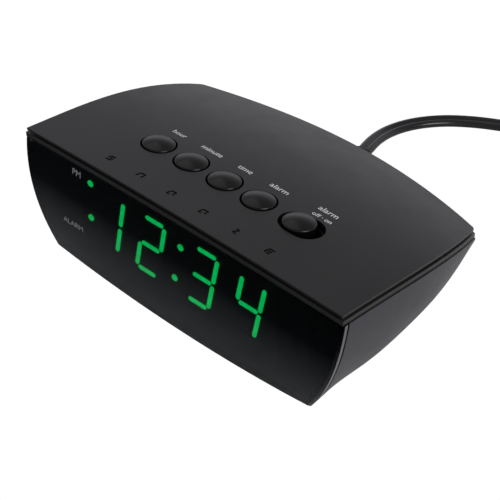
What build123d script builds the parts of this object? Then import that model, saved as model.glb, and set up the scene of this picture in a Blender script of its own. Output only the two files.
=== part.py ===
"""Mains alarm clock with a green LED display: a boat-shaped case, a press-down snooze cover,
four push buttons, an alarm switch, and a flat two-core mains lead with its plug.

Frame: +X right as seen from the front, +Y to the back, +Z up. The origin is on the table
under the middle of the clock. Lengths are in millimetres.
"""

from build123d import *
import math
import os

os.makedirs("parts", exist_ok=True)

# ---------------------------------------------------------------- driving dimensions
CASE_DEPTH = 86.9  # from the lens's bulge to the middle of the back
FRONT_HEIGHT = 48.6  # the cover's front corners, above the table
LENS_BULGE = 1.9
FRONT_Y = LENS_BULGE - CASE_DEPTH / 2  # the cover's straight front edge
REAR_DEPTH = CASE_DEPTH - LENS_BULGE  # the back's middle, behind that edge

COVER_HALF_WIDTH = 66.0
COVER_NARROWING = 2.95e-5
COVER_WIDEST = 12.0  # the depth that it narrows from
TOP_SLOPE = 0.128
TOP_CURL = 1.88e-5
FRONT_CROWN = 1.0
REAR_CROWN = 3.1

COVER_EDGE = 0.9
COVER_THICK = 1.8
RIM_TOP = 1.7
DECK_TOP = 2.6
DECK_LAP = 0.35  # the deck's ribs start this far inside the rim's own floor
RIM_BOTTOM = 3.35
CASE_TOP = 3.5
DECK_BOTTOM = 4.4
RIM_STEP = 0.5  # the rim stands this far outside the cover
CASE_STEP = 0.9
WALL = 2.2

CHINE_HEIGHT = 8.0  # the sharp lower edge of the sides, at the front
CHINE_LIFT = 20.6  # how far that edge climbs by the rear corners
CHINE_CLIMB = 2.35  # the power of depth that it climbs with
CHINE_CURVE = 1.7  # and the power of height that it moves inwards with
CHINE_BELOW_TOP = 0.9  # it stays this far under the top of the tub
CHINE_DEPTH = 75.3
CHINE_INSET = 9.8  # how far inside the cover's edge it stands at the front
NOSE_TUCK = 1.3  # and how much more at the lens, over the first stretch of the side
NOSE_LENGTH = 16.0
CHINE_FALL = 42.0
CHINE_BLEND = 4.0  # how softly the climb levels off under the case's top
KEEL_HEIGHT = 1.2  # the middle of the underside
KEEL_LIFT = 3.0  # and how much it has risen at the rear
KEEL_FLAT = 35.0  # the underside is level this far back

LENS_THICK = 2.1
LENS_MIDDLE = 24.5
LENS_RADIUS = 143.0

CORNER_X = 57.5
CORNER_DEPTH = 74.5

STATIONS = [-6, 8, 22, 36, 50, 62, 72, 80, 90]

BUTTON_DEPTH = 24.8
BUTTON_PITCH = 14.4
BUTTON_NAMES = ["hour", "minute", "time", "alarm"]
BUTTON_FIRST_X = -31.0
SWITCH_X = 28.5
CAP_RADIUS = 5.45
HOLE_RADIUS = 6.05
GUIDE_RADIUS = 5.75
CAP_DOME = 13.0
CAP_RISE = 1.5
KNOB_RISE = 1.9
SWITCH_TRAVEL = 2.0
SLOT_SPAN = 3.5  # between the ends' centres of the knob's slot in the cover
BUTTON_TRAVEL = 0.8
SWITCH_BOARD_DROP = 9.8  # the key board's top face, below the cover at the buttons
BOARD_THICK = 1.6

LED_FACE = 2.85  # the display module's face, behind the front edge
LED_DEPTH = 7.0
LED_HALF_WIDTH = 44.5
LED_LOW = 12.5
LED_HIGH = 41.2
DIGIT_TOP = 39.2
DIGIT_BOTTOM = 16.8
DIGIT_WIDTH = 9.0
DIGIT_SLANT = 0.2
DIGIT_RIGHT = [-23.8, -5.7, 16.6, 35.7]
STROKE = 1.5
STROKE_GAP = 0.75
SEGMENT_THICK = 0.3

CORD_THICK = 2.8
CORD_WIDTH = 5.6
CORD_EXIT = (-8.0, FRONT_Y + REAR_DEPTH, 11.2)
NECK_SIZE = (8.0, 5.2)  # the strain relief's waist in the back wall
NECK_CORNER = 2.0


# ---------------------------------------------------------------- shape of the case
def cover_drop(d):
    """How far the cover's side edges have dropped at depth d behind the front edge."""
    return TOP_SLOPE * d + TOP_CURL * d**3


def crown(d):
    return FRONT_CROWN + (REAR_CROWN - FRONT_CROWN) * (d / REAR_DEPTH) ** 2


def half_width(d):
    return COVER_HALF_WIDTH - COVER_NARROWING * (d - COVER_WIDEST) ** 3


def edge_height(d, below=0.0):
    return FRONT_HEIGHT - cover_drop(d) - below


def chine(d):
    """The sharp edge between a side and the underside: x and z."""
    climbing = CHINE_HEIGHT + CHINE_LIFT * (max(d, 0) / CHINE_DEPTH) ** CHINE_CLIMB
    ceiling = edge_height(d, CASE_TOP + CHINE_BELOW_TOP)
    room = ceiling - climbing
    z = ceiling - (room + math.hypot(room, CHINE_BLEND)) / 2
    fall = edge_height(d) - z
    tuck = NOSE_TUCK * max(0, 1 - max(d, 0) / NOSE_LENGTH) ** 2
    return half_width(d) - CHINE_INSET * (fall / CHINE_FALL) ** CHINE_CURVE - tuck, z


def keel(d):
    return KEEL_HEIGHT + KEEL_LIFT * (max(0, d - KEEL_FLAT) / (REAR_DEPTH - KEEL_FLAT)) ** 2


def lens_depth(z):
    """The lens's front face, behind the front edge, at height z."""
    return -LENS_BULGE + (z - LENS_MIDDLE) ** 2 / (2 * LENS_RADIUS)


def section_plane(d):
    return Plane.XZ.offset(-(FRONT_Y + d))


def slab_section(d, top, bottom, inset):
    """A slice between two copies of the cover's top surface."""
    x = half_width(d) - inset
    middle = crown(d)
    side = middle * (1 - (x / half_width(d)) ** 2)
    high = edge_height(d, top)
    low = edge_height(d, bottom)
    with BuildSketch(section_plane(d)) as section:
        with BuildLine():
            ThreePointArc((-x, high + side), (0, high + middle), (x, high + side))
            Line((x, high + side), (x, low + side))
            ThreePointArc((x, low + side), (0, low + middle), (-x, low + side))
            Line((-x, low + side), (-x, high + side))
        make_face()
    return section.sketch


def case_section(d, inset=0.0, raised=0.0):
    """A slice of the lower case: crowned top, bulging sides, shallow boat bottom.
    raised lifts the top on straight sides, so that a cavity opens upward."""
    x_top = half_width(d) + CASE_STEP - inset
    z_top = edge_height(d, CASE_TOP)
    x_chine, z_chine = chine(d)
    x_chine -= inset
    z_chine = min(z_chine + inset * 1.1, z_top - 0.3)
    z_keel = keel(d) + inset
    with BuildSketch(section_plane(d)) as section:
        with BuildLine():
            z_open = z_top + raised
            ThreePointArc((-x_top, z_open), (0, z_open + crown(d)), (x_top, z_open))
            if raised:
                Line((x_top, z_open), (x_top, z_top))
                Line((-x_top, z_open), (-x_top, z_top))
            side = TangentArc((x_top, z_top), (x_chine, z_chine), tangent=(0, -1))
            ThreePointArc((x_chine, z_chine), (0, z_keel), (-x_chine, z_chine))
            mirror(side, about=Plane.YZ)
        make_face()
    return section.sketch


def plan_outline(front, rear):
    """The plan between a straight front at depth front and the curved back, rear mm inside."""
    radius = (CORNER_X**2 + (REAR_DEPTH - CORNER_DEPTH) ** 2) / (2 * (REAR_DEPTH - CORNER_DEPTH))
    reach = 75.0
    back = FRONT_Y + REAR_DEPTH - rear
    side = back - radius + math.sqrt(radius**2 - reach**2)
    with BuildSketch() as outline:
        with BuildLine():
            Line((-reach, FRONT_Y + front), (reach, FRONT_Y + front))
            Line((reach, FRONT_Y + front), (reach, side))
            ThreePointArc((reach, side), (0, back), (-reach, side))
            Line((-reach, side), (-reach, FRONT_Y + front))
        make_face()
    return outline.sketch


def lens_profile(offset, thick):
    """Side view of a curved sheet that follows the lens, offset mm behind its front."""
    low, high = -4.0, 56.0
    rows = [low, LENS_MIDDLE, high]
    near = [(FRONT_Y + lens_depth(z) + offset, z) for z in rows]
    far = [(y + thick, z) for y, z in near]
    with BuildSketch(Plane.YZ) as profile:
        with BuildLine():
            ThreePointArc(*near)
            Line(near[2], far[2])
            ThreePointArc(far[2], far[1], far[0])
            Line(far[0], near[0])
        make_face()
    return profile.sketch


def tilted_plane(x, d, above=0.0):
    """A plane on the cover's surface at depth d, tilted with it."""
    slope = TOP_SLOPE + 3 * TOP_CURL * d**2
    height = edge_height(d) + crown(d) * (1 - (x / half_width(d)) ** 2)
    normal = Vector(0, slope, 1).normalized()
    origin = Vector(x, FRONT_Y + d, height) + normal * above
    return Plane(origin=origin, x_dir=(1, 0, 0), z_dir=normal)


def finish(built, name):
    """Label a finished piece and write it."""
    built.part.label = name
    export_step(built.part, f"parts/{name}.step")


def trimmed_slab(top, bottom, inset, front, rear):
    with BuildPart() as sheet:
        loft(sections=[slab_section(d, top, bottom, inset) for d in STATIONS])
        extrude(plan_outline(front, rear), amount=80, mode=Mode.INTERSECT)
    return sheet.part


def case_outer():
    with BuildPart() as outer:
        loft(sections=[case_section(d) for d in STATIONS])
    return outer.part


def case_cavity():
    with BuildPart() as cavity:
        loft(sections=[case_section(d, WALL, 8) for d in STATIONS])
        extrude(plan_outline(-12, 2.4), amount=80, mode=Mode.INTERSECT)
    return cavity.part


OUTER = case_outer()
CAVITY = case_cavity()


def block(low, high):
    """A plain box between two corners."""
    size = [b - a for a, b in zip(low, high)]
    middle = [(a + b) / 2 for a, b in zip(low, high)]
    with BuildPart(Plane(origin=middle)) as box:
        Box(*size)
    return box.part


def post(x, d, low, high, radius):
    with BuildPart(Plane(origin=(x, FRONT_Y + d, low))) as rod:
        Cylinder(radius, high - low, align=(Align.CENTER, Align.CENTER, Align.MIN))
    return rod.part


# ---------------------------------------------------------------- fixings and their places
CASE_SCREWS = [(x * side, d, head, joint) for x, d, head, joint in
               [(50.0, 15.0, 10.0, 17.0), (45.0, 59.0, 18.0, 23.0)] for side in (-1, 1)]
SCREW_HEAD_RADIUS = 2.8
SCREW_HEAD = 2.0
SCREW_SHANK = 1.25
FEET = [(x * side, d, top) for x, d, top in [(38.0, 11.0, 5.2), (32.0, 55.0, 9.0)]
        for side in (-1, 1)]
FOOT_RADIUS = 4.5
FOOT_THICK = 1.6
PEDESTAL_BOTTOM = 1.0

BATTERY_X = 25.0  # half the compartment's length
BATTERY_FRONT, BATTERY_BACK = 27.0, 55.0
BATTERY_TOP = 24.0
BOX_WALL = 1.6
DOOR_GAP = 0.3

HINGE_X = 40.0
HINGE_DEPTH = 71.0
HINGE_HEIGHT = 26.5
PIN_RADIUS = 0.8
PIN_CLEARANCE = 0.05

CORE_X, CORE_DEPTH, CORE_LOW = 41.0, 36.0, 13.6

BUZZER = (-38.5, 36.0)
BUZZER_SEAT = 11.2
BUZZER_RADIUS = 10.0
BUZZER_THICK = 5.0


# ---------------------------------------------------------------- where the keys and their board sit
FLANGE_TOP = -4.75  # heights along a cap's axis, from the cover's surface
FLANGE_BOTTOM = -5.6
STEM_BOTTOM = -6.8
SNOOZE_SWITCH = (BUTTON_FIRST_X + 1.5 * BUTTON_PITCH, 16.4)  # x, and depth
BOARD_POST_X = (-38.0, 41.0)
BOARD_POST_AHEAD = 6.0
BOARD_PLANE = tilted_plane(0, BUTTON_DEPTH, -SWITCH_BOARD_DROP)
KEY_BOARD_SIZE = (86.0, 20.6)
KEY_BOARD_SHIFT = (1.5, 0.4)
KEY_TOPS = STEM_BOTTOM - BUTTON_TRAVEL - 0.1
TACT_HEIGHT = 1.5


def board_plane(x, ahead=0.0):
    """On the key board, under the cover's point at x; ahead moves towards the back."""
    local = BOARD_PLANE.to_local_coords(tilted_plane(x, BUTTON_DEPTH).origin)
    origin = BOARD_PLANE.from_local_coords(Vector(x, local.Y + ahead, 0))
    return Plane(origin=origin, x_dir=(1, 0, 0), z_dir=BOARD_PLANE.z_dir)


RELIEF_PLANE = Plane(origin=CORD_EXIT, x_dir=(1, 0, 0), z_dir=(0, 1, 0))


# ---------------------------------------------------------------- lower case
def battery_block():
    return block((-BATTERY_X - BOX_WALL, FRONT_Y + BATTERY_FRONT - BOX_WALL, 0),
                 (BATTERY_X + BOX_WALL, FRONT_Y + BATTERY_BACK + BOX_WALL, BATTERY_TOP + BOX_WALL))


def door_prism(gap):
    return block((-BATTERY_X + gap, FRONT_Y + BATTERY_FRONT + gap, -1),
                 (BATTERY_X - gap, FRONT_Y + BATTERY_BACK - gap, BATTERY_TOP))


with BuildPart() as fittings:
    add(battery_block())
    for x, d, head, joint in CASE_SCREWS:
        add(post(x, d, 0, joint, 4.0))
    add(post(*BUZZER, 0, BUZZER_SEAT, 9.0))
    add(block((CORE_X - 9, FRONT_Y + CORE_DEPTH - 5, 0), (CORE_X + 9, FRONT_Y + CORE_DEPTH + 5, CORE_LOW)))
    add(OUTER, mode=Mode.INTERSECT)

with BuildPart() as lower_case:
    add(OUTER)
    add(CAVITY, mode=Mode.SUBTRACT)
    add(fittings.part)
    for x, d, top in FEET:
        add(post(x, d, PEDESTAL_BOTTOM, top, 6.0))
    extrude(plan_outline(-12, 0), amount=80, mode=Mode.INTERSECT)
    extrude(lens_profile(LENS_THICK, 120), amount=80, both=True, mode=Mode.INTERSECT)
    add(door_prism(0), mode=Mode.SUBTRACT)
    for x, d, top in FEET:
        add(post(x, d, 0, FOOT_THICK, FOOT_RADIUS), mode=Mode.SUBTRACT)
    for x, d, head, joint in CASE_SCREWS:
        add(post(x, d, 0, head, 3.2), mode=Mode.SUBTRACT)
        add(post(x, d, 0, joint + 1, 1.6), mode=Mode.SUBTRACT)
    with Locations((BUZZER[0], FRONT_Y + BUZZER[1], 0)):
        with PolarLocations(4.5, 6):
            Hole(0.9, depth=60)
        Hole(0.9, depth=60)
    with BuildSketch(RELIEF_PLANE.offset(-8)):
        RectangleRounded(NECK_SIZE[0] + 0.1, NECK_SIZE[1] + 0.1, NECK_CORNER)
    extrude(amount=12, mode=Mode.SUBTRACT)
finish(lower_case, "lower_case")

# ---------------------------------------------------------------- battery door
with BuildPart() as battery_door:
    add(OUTER)
    add(CAVITY, mode=Mode.SUBTRACT)
    add(door_prism(DOOR_GAP), mode=Mode.INTERSECT)
    with Locations((0, FRONT_Y + BATTERY_FRONT + 3.5, 1.0)):
        with GridLocations(4.0, 0, 4, 1):
            Box(1.2, 2.4, 1.0, mode=Mode.SUBTRACT)
finish(battery_door, "battery_door")

# ---------------------------------------------------------------- upper case
with BuildPart() as upper_case:
    add(trimmed_slab(RIM_TOP, RIM_BOTTOM, -RIM_STEP, -0.2, 0))
    add(trimmed_slab(RIM_TOP - 1, DECK_TOP, 2.0, 2.2, 2.4), mode=Mode.SUBTRACT)
    add(trimmed_slab(DECK_TOP + DECK_LAP, DECK_BOTTOM, 1.7, 2.6, 2.8))
    for x, d, head, joint in CASE_SCREWS:
        add(post(x, d, joint, edge_height(d, DECK_TOP + 0.4), 3.4))
    for side in (-1, 1):
        for offset in (-3.2, 3.2):
            x = side * HINGE_X + offset
            add(block((x - 1, FRONT_Y + HINGE_DEPTH - 3, HINGE_HEIGHT - 2.5),
                      (x + 1, FRONT_Y + HINGE_DEPTH + 3, edge_height(HINGE_DEPTH, DECK_TOP + 0.6))))
    for x, d, head, joint in CASE_SCREWS:
        add(post(x, d, joint - 1, joint + 9, SCREW_SHANK), mode=Mode.SUBTRACT)
    for side in (-1, 1):
        x = side * HINGE_X
        add(block((x - 2.1, FRONT_Y + HINGE_DEPTH - 4, 20), (x + 2.1, FRONT_Y + HINGE_DEPTH + 4, 60)),
            mode=Mode.SUBTRACT)
        with Locations(Plane(origin=(x, FRONT_Y + HINGE_DEPTH, HINGE_HEIGHT), z_dir=(1, 0, 0))):
            Cylinder(PIN_RADIUS, 9, mode=Mode.SUBTRACT)
    for index in range(4):
        with Locations(tilted_plane(BUTTON_FIRST_X + index * BUTTON_PITCH, BUTTON_DEPTH)):
            Cylinder(GUIDE_RADIUS, 20, mode=Mode.SUBTRACT)
    with BuildSketch(tilted_plane(SWITCH_X + SWITCH_TRAVEL / 2, BUTTON_DEPTH, 4)):
        SlotCenterToCenter(SWITCH_TRAVEL, 2 * GUIDE_RADIUS)
    extrude(amount=-14, mode=Mode.SUBTRACT)
    with Locations(tilted_plane(*SNOOZE_SWITCH)):
        Cylinder(2.2, 20, mode=Mode.SUBTRACT)
    for x in BOARD_POST_X:
        with Locations(board_plane(x, BOARD_POST_AHEAD)):
            Cylinder(2.4, 6.4, align=(Align.CENTER, Align.CENTER, Align.MIN))
            Cylinder(1.0, 4, align=(Align.CENTER, Align.CENTER, Align.MIN), mode=Mode.SUBTRACT)
finish(upper_case, "upper_case")

# ---------------------------------------------------------------- snooze cover
LETTER_HEIGHT = 2.1
LETTER_WIDTH = 2.0
LETTER_STROKE = 0.7
LETTER_CORNER = 0.4
LETTER_PITCH = 13.4
LETTER_FIRST_X = -34.6
LETTER_DEPTH = 7.2
LETTER_SLANT = 0.16
LETTER_STROKES = {
    "S": [[(1, 2), (0, 2), (0, 1)], [(0.25, 1), (1, 1), (1, 0), (0, 0)]],
    "N": [[(0, 0), (0, 2), (1, 2), (1, 0)]],
    "O": [[(0.55, 0), (0, 0), (0, 2), (1, 2), (1, 0.35)]],
    "Z": [[(0, 2), (1, 2), (0, 0), (1, 0)]],
    "E": [[(1, 2), (0, 2), (0, 0), (1, 0)], [(0.3, 1), (0.95, 1)]],
}


def letter(name, x):
    """One letter's strokes, sunk into the cover."""
    plane = tilted_plane(x, LETTER_DEPTH, 1)
    with BuildSketch(plane) as strokes:
        for points in LETTER_STROKES[name]:
            placed = [((u - 0.5) * LETTER_WIDTH + (v - 1) * LETTER_SLANT * LETTER_HEIGHT / 2,
                       (v - 1) * LETTER_HEIGHT / 2) for u, v in points]
            with BuildLine():
                if len(placed) > 2:
                    FilletPolyline(*placed, radius=LETTER_CORNER)
                else:
                    Line(*placed)
            trace(line_width=LETTER_STROKE)
    return strokes.sketch


with BuildPart() as snooze_cover:
    add(trimmed_slab(0, COVER_EDGE, 0, 0, 0.2))
    fillet(snooze_cover.edges().group_by(SortBy.LENGTH)[0].group_by(Axis.Y)[-1], 2.0)
    add(trimmed_slab(0.4, COVER_THICK, 2.4, 2.6, 2.8))
    for side in (-1, 1):
        x = side * HINGE_X
        add(block((x - 1.7, FRONT_Y + HINGE_DEPTH - 2.4, HINGE_HEIGHT - 2.2),
                  (x + 1.7, FRONT_Y + HINGE_DEPTH + 2.4, edge_height(HINGE_DEPTH, 0.8))))
        with Locations(Plane(origin=(x, FRONT_Y + HINGE_DEPTH, HINGE_HEIGHT), z_dir=(1, 0, 0))):
            Cylinder(PIN_RADIUS + PIN_CLEARANCE, 8, mode=Mode.SUBTRACT)
    with BuildSketch(tilted_plane(*SNOOZE_SWITCH, -1.2)):
        Circle(1.5)
    extrude(amount=-5.8)
    for index in range(4):
        with Locations(tilted_plane(BUTTON_FIRST_X + index * BUTTON_PITCH, BUTTON_DEPTH)):
            Cylinder(HOLE_RADIUS, 8, mode=Mode.SUBTRACT)
    with BuildSketch(tilted_plane(SWITCH_X + SWITCH_TRAVEL / 2, BUTTON_DEPTH, 4)):
        SlotCenterToCenter(SLOT_SPAN, 2 * HOLE_RADIUS)
    extrude(amount=-8, mode=Mode.SUBTRACT)
    for index, name in enumerate("SNOOZE"):
        extrude(letter(name, LETTER_FIRST_X + index * LETTER_PITCH), amount=-1.35, mode=Mode.SUBTRACT)
finish(snooze_cover, "snooze_cover")

with BuildPart() as hinge_pins:
    for side in (-1, 1):
        with Locations(Plane(origin=(side * HINGE_X, FRONT_Y + HINGE_DEPTH, HINGE_HEIGHT),
                             z_dir=(1, 0, 0))):
            Cylinder(PIN_RADIUS, 8.4)
finish(hinge_pins, "hinge_pins")

# ---------------------------------------------------------------- lens
with BuildPart() as front_lens:
    add(OUTER)
    extrude(lens_profile(0, LENS_THICK), amount=80, both=True, mode=Mode.INTERSECT)
    front = front_lens.faces().sort_by(Axis.Y)[0]
    chamfer(front.edges(), 0.8)
finish(front_lens, "front_lens")

# ---------------------------------------------------------------- buttons and alarm switch
def cap(plane, rise):
    """A domed cap with a retaining flange and a stem, turned about the plane's own Z."""
    rim = CAP_RADIUS - 0.6
    rim_height = rise - CAP_DOME + math.sqrt(CAP_DOME**2 - rim**2)
    outline = [(0, rise), (0, STEM_BOTTOM), (2, STEM_BOTTOM), (2, FLANGE_BOTTOM),
               (CAP_RADIUS + 1, FLANGE_BOTTOM), (CAP_RADIUS + 1, FLANGE_TOP),
               (CAP_RADIUS, FLANGE_TOP), (CAP_RADIUS, rim_height - 0.7)]
    upright = Plane(origin=plane.origin, x_dir=plane.x_dir, z_dir=-plane.y_dir)
    with BuildPart() as button:
        with BuildSketch(upright):
            with BuildLine():
                Polyline(*outline)
                ThreePointArc(outline[-1], (CAP_RADIUS - 0.16, rim_height - 0.2), (rim, rim_height))
                CenterArc((0, rise - CAP_DOME), CAP_DOME, 90, -math.degrees(math.asin(rim / CAP_DOME)))
            make_face()
        revolve(axis=Axis(plane.origin, plane.z_dir))
    return button


for index, name in enumerate(BUTTON_NAMES):
    button = cap(tilted_plane(BUTTON_FIRST_X + index * BUTTON_PITCH, BUTTON_DEPTH), CAP_RISE)
    finish(button, f"{name}_button")
finish(cap(tilted_plane(SWITCH_X, BUTTON_DEPTH), KNOB_RISE), "alarm_switch_knob")

# ---------------------------------------------------------------- key board
with BuildPart() as key_board:
    with Locations(BOARD_PLANE * Location((*KEY_BOARD_SHIFT, -BOARD_THICK))):
        Box(*KEY_BOARD_SIZE, BOARD_THICK, align=(Align.CENTER, Align.CENTER, Align.MIN))
    for x in BOARD_POST_X:
        with Locations(board_plane(x, BOARD_POST_AHEAD)):
            Cylinder(1.0, 6, mode=Mode.SUBTRACT)
finish(key_board, "key_board")

TACT_PLACES = [(BUTTON_FIRST_X + index * BUTTON_PITCH, 0.0) for index in range(4)]
with BuildPart() as tact_switches:
    for x, ahead in TACT_PLACES:
        seat = board_plane(x, ahead)
        with Locations(seat):
            Box(6, 6, TACT_HEIGHT, align=(Align.CENTER, Align.CENTER, Align.MIN))
        stem_end = tilted_plane(x, BUTTON_DEPTH, KEY_TOPS)
        height = BOARD_PLANE.to_local_coords(stem_end.origin).Z
        with Locations(seat):
            Cylinder(1.7, height, align=(Align.CENTER, Align.CENTER, Align.MIN))
finish(tact_switches, "tact_switches")

with BuildPart() as snooze_switch:
    plunger_end = tilted_plane(*SNOOZE_SWITCH, -7.0)
    local = BOARD_PLANE.to_local_coords(plunger_end.origin)
    seat = Plane(origin=BOARD_PLANE.from_local_coords(Vector(local.X, local.Y, 0)),
                 x_dir=(1, 0, 0), z_dir=BOARD_PLANE.z_dir)
    with Locations(seat):
        Box(4.4, 2.2, 1.0, align=(Align.CENTER, Align.CENTER, Align.MIN))
        Cylinder(0.9, local.Z - 0.65, align=(Align.CENTER, Align.CENTER, Align.MIN))
finish(snooze_switch, "snooze_switch")

SWITCH_SLOT = 1.5
with BuildPart() as slide_switch:
    with Locations(board_plane(SWITCH_X + SWITCH_TRAVEL / 2)):
        Box(11, 6, 2.2, align=(Align.CENTER, Align.CENTER, Align.MIN))
    with Locations(board_plane(SWITCH_X + SWITCH_TRAVEL / 2).offset(2.2)):
        Box(SWITCH_TRAVEL + 2.6, 2.4, 2 * SWITCH_SLOT, mode=Mode.SUBTRACT)
finish(slide_switch, "slide_switch")

with BuildPart(tilted_plane(SWITCH_X, BUTTON_DEPTH, STEM_BOTTOM)) as switch_lever:
    Box(1.6, 1.6, 1.6, align=(Align.CENTER, Align.CENTER, Align.MAX))
finish(switch_lever, "switch_lever")

with BuildPart() as key_board_screws:
    for x in BOARD_POST_X:
        with Locations(board_plane(x, BOARD_POST_AHEAD).offset(-BOARD_THICK)):
            Cylinder(2.1, 1.4, align=(Align.CENTER, Align.CENTER, Align.MAX))
            Cylinder(1.0, BOARD_THICK + 4, align=(Align.CENTER, Align.CENTER, Align.MIN))
finish(key_board_screws, "key_board_screws")

# ---------------------------------------------------------------- LED display
LED_BACK = LED_FACE + LED_DEPTH
MODULE_HALF_WIDTH = 43.5
with BuildPart() as led_module:
    add(block((-MODULE_HALF_WIDTH, FRONT_Y + LED_FACE, LED_LOW),
              (MODULE_HALF_WIDTH - 3, FRONT_Y + LED_BACK, LED_HIGH)))
finish(led_module, "led_module")

LIT = {"1": "bc", "2": "abged", "3": "abgcd", "4": "fgbc"}
DIGIT_MIDDLE = (DIGIT_TOP + DIGIT_BOTTOM) / 2
DOT_RADIUS = 1.15
DOTS = [(0.9, 35.2), (-2.1, 21.4), (-38.9, 39.0), (-39.8, 24.8)]


def segment_ends(right, name):
    """Centreline ends of one bar of a slanted seven-bar digit."""
    left, high, low = right - DIGIT_WIDTH, DIGIT_TOP, DIGIT_BOTTOM
    corners = {"a": [(left, high), (right, high)], "b": [(right, high), (right, DIGIT_MIDDLE)],
               "c": [(right, DIGIT_MIDDLE), (right, low)], "d": [(left, low), (right, low)],
               "e": [(left, DIGIT_MIDDLE), (left, low)], "f": [(left, high), (left, DIGIT_MIDDLE)],
               "g": [(left, DIGIT_MIDDLE), (right, DIGIT_MIDDLE)]}
    return [Vector(x - (DIGIT_TOP - z) * DIGIT_SLANT, z) for x, z in corners[name]]


def bars(names_of):
    """The chosen bars of all four digits as thin plates on the module's face."""
    with BuildPart() as plates:
        with BuildSketch(Plane.XZ.offset(-(FRONT_Y + LED_FACE))):
            for digit, right in zip("1234", DIGIT_RIGHT):
                for name in names_of(digit):
                    start, end = segment_ends(right, name)
                    along = (end - start).normalized()
                    trim = along * (STROKE_GAP + STROKE / 2)
                    middle = (start + end) / 2
                    length = (end - start - trim * 2).length
                    angle = math.degrees(math.atan2(along.Y, along.X))
                    with Locations(Location((middle.X, middle.Y), angle)):
                        SlotCenterToCenter(length, STROKE)
        extrude(amount=SEGMENT_THICK)
    return plates


lit_segments = bars(lambda digit: LIT[digit])
finish(lit_segments, "lit_segments")
unlit_segments = bars(lambda digit: [name for name in "abcdefg" if name not in LIT[digit]])
finish(unlit_segments, "unlit_segments")

with BuildPart() as indicator_dots:
    with BuildSketch(Plane.XZ.offset(-(FRONT_Y + LED_FACE))):
        with Locations(*DOTS):
            Circle(DOT_RADIUS)
    extrude(amount=SEGMENT_THICK)
finish(indicator_dots, "indicator_dots")

with BuildPart() as display_board:
    add(block((-47, FRONT_Y + LED_BACK, LED_LOW - 1.5),
              (47, FRONT_Y + LED_BACK + BOARD_THICK, LED_HIGH - 4)))
finish(display_board, "display_board")

with BuildPart() as clock_chip:
    add(block((-26, FRONT_Y + LED_BACK + BOARD_THICK, 18),
              (9, FRONT_Y + LED_BACK + BOARD_THICK + 4.2, 30)))
finish(clock_chip, "clock_chip")

# ---------------------------------------------------------------- power supply and sounder
POWER_BOARD_LOW = BATTERY_TOP + BOX_WALL
with BuildPart() as power_board:
    add(block((-24, FRONT_Y + 33, POWER_BOARD_LOW), (26, FRONT_Y + 60, POWER_BOARD_LOW + BOARD_THICK)))
finish(power_board, "power_board")

with BuildPart() as capacitors:
    for x, d, radius, height in [(-14, 47, 4.0, 5.0), (-3, 50, 3.0, 4.5), (7, 48, 2.5, 4.5)]:
        add(post(x, d, POWER_BOARD_LOW + BOARD_THICK, POWER_BOARD_LOW + BOARD_THICK + height, radius))
finish(capacitors, "capacitors")

with BuildPart() as rectifier:
    for x in (16.0, 19.5, 23.0):
        add(block((x - 1.2, FRONT_Y + 40, POWER_BOARD_LOW + BOARD_THICK),
                  (x + 1.2, FRONT_Y + 45, POWER_BOARD_LOW + BOARD_THICK + 2.4)))
finish(rectifier, "rectifier")

CORE_SIZE = (21.0, 12.0, 18.0)
with BuildPart(Plane(origin=(CORE_X, FRONT_Y + CORE_DEPTH, CORE_LOW))) as transformer_core:
    Box(*CORE_SIZE, align=(Align.CENTER, Align.CENTER, Align.MIN))
    for x in (-5.6, 5.6):
        with Locations((x, 0, 3.5)):
            Box(4.2, 30, 11, align=(Align.CENTER, Align.CENTER, Align.MIN), mode=Mode.SUBTRACT)
finish(transformer_core, "transformer_core")

with BuildPart(Plane(origin=(CORE_X, FRONT_Y + CORE_DEPTH, CORE_LOW + 9))) as transformer_coil:
    Box(15.2, 20, 10.8)
    Box(7.2, 12.2, 11, mode=Mode.SUBTRACT)
    for x in (-5.6, 5.6):
        with Locations((x, 0, 0)):
            Box(4.0, 12, 10.8)
    fillet(transformer_coil.edges().filter_by(Axis.Z).group_by(Axis.Y)[0], 2)
    fillet(transformer_coil.edges().filter_by(Axis.Z).group_by(Axis.Y)[-1], 2)
finish(transformer_coil, "transformer_coil")

with BuildPart() as buzzer:
    add(post(*BUZZER, BUZZER_SEAT, BUZZER_SEAT + BUZZER_THICK, BUZZER_RADIUS))
    add(post(*BUZZER, BUZZER_SEAT - 1, BUZZER_SEAT + 1.5, 2.5), mode=Mode.SUBTRACT)
    fillet(buzzer.edges().sort_by(Axis.Z)[-1], 0.6)
finish(buzzer, "buzzer")

# ---------------------------------------------------------------- battery contacts, screws, feet
with BuildPart() as battery_contacts:
    for side in (-1, 1):
        add(block((-BATTERY_X, FRONT_Y + 41 + side * 6.4 - 3, 9),
                  (-BATTERY_X + 0.4, FRONT_Y + 41 + side * 6.4 + 3, 20)))
        with Locations(Plane(origin=(-BATTERY_X + 0.4, FRONT_Y + 41 + side * 6.4, 14.5),
                             z_dir=(1, 0, 0))):
            Cylinder(2.6, 1.8, align=(Align.CENTER, Align.CENTER, Align.MIN))
finish(battery_contacts, "battery_contacts")

with BuildPart() as case_screws:
    for x, d, head, joint in CASE_SCREWS:
        add(post(x, d, head - SCREW_HEAD, head, SCREW_HEAD_RADIUS))
        add(post(x, d, head, joint + 8, SCREW_SHANK))
        with Locations((x, FRONT_Y + d, head - SCREW_HEAD)):
            Box(3.4, 0.8, 1.8, mode=Mode.SUBTRACT)
            Box(0.8, 3.4, 1.8, mode=Mode.SUBTRACT)
finish(case_screws, "case_screws")

with BuildPart() as rubber_feet:
    for x, d, top in FEET:
        add(post(x, d, 0, FOOT_THICK, FOOT_RADIUS))
    fillet(rubber_feet.edges().group_by(Axis.Z)[0], 0.5)
finish(rubber_feet, "rubber_feet")

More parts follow.
